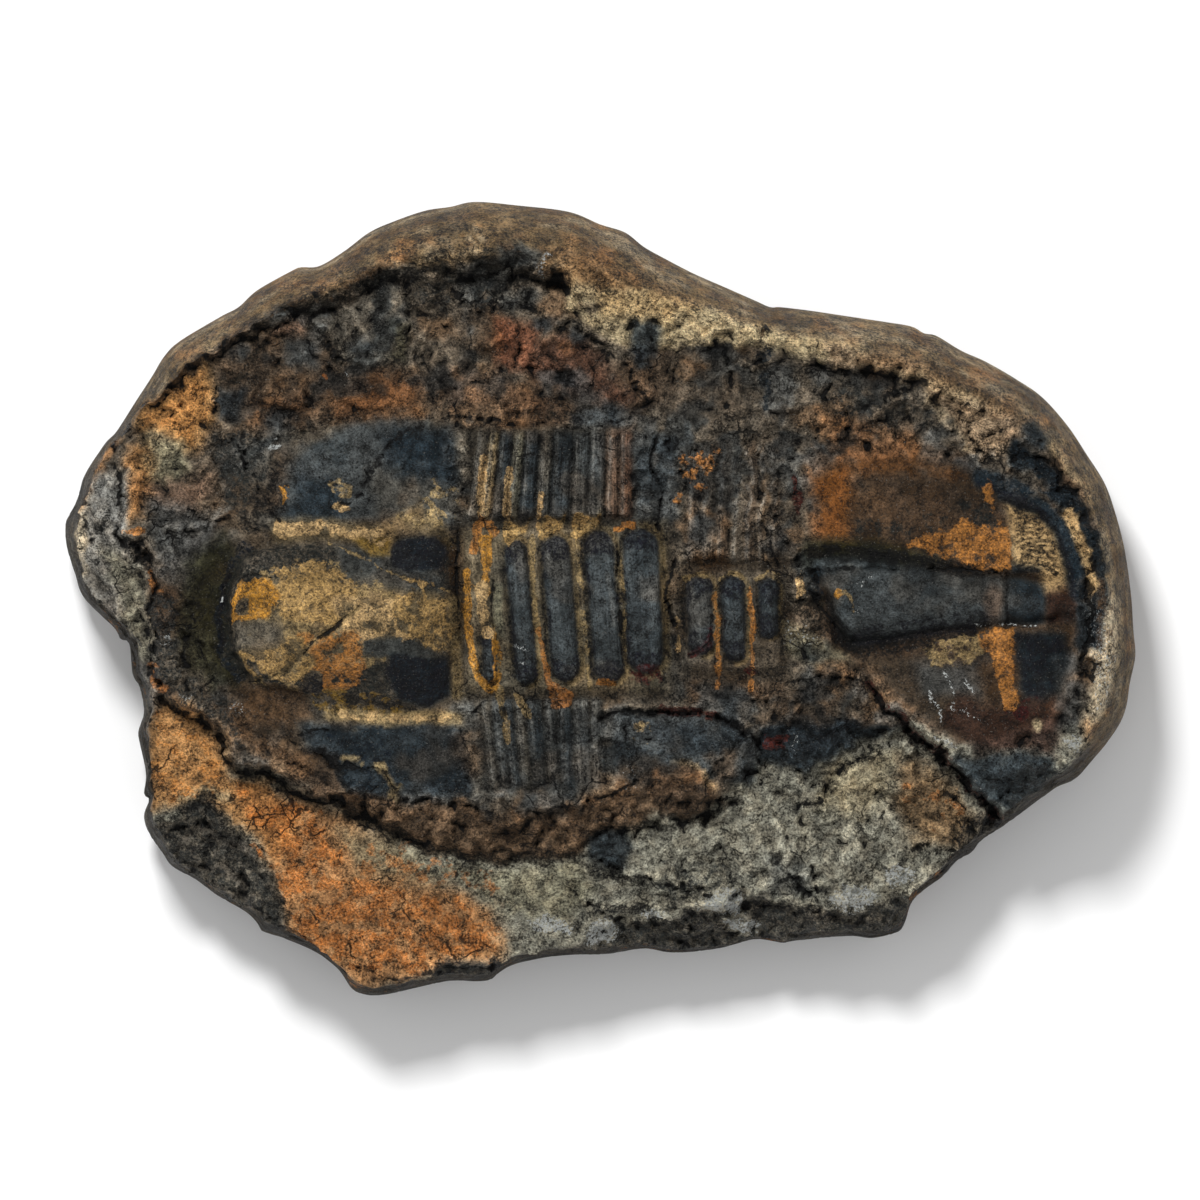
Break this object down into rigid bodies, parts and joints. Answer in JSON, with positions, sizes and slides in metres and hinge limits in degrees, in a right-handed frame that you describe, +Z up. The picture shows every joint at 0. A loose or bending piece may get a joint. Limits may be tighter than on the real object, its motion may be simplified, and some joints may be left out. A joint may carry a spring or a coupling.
{
  "type": "trilobite fossil",
  "caption": "Split slab of dark rock with a brown weathered rim and a large trilobite in raised relief on its open face; it lies flat on its underside.",
  "frame": {"origin": "centre of the slab seen from above, on the flat underside that it rests on", "axes": "+X along the trilobite from its head to its tail, +Y towards the high weathered rim, +Z up out of the fossil face"},
  "size_m": [0.1719, 0.1275, 0.0342],
  "materials": {
    "fossil_rock": "matte split rock, smoother brown rind on the rim"
  },
  "bodies": {
    "root": {"fossil_slab": "fossil_rock"}
  },
  "joints": []
}
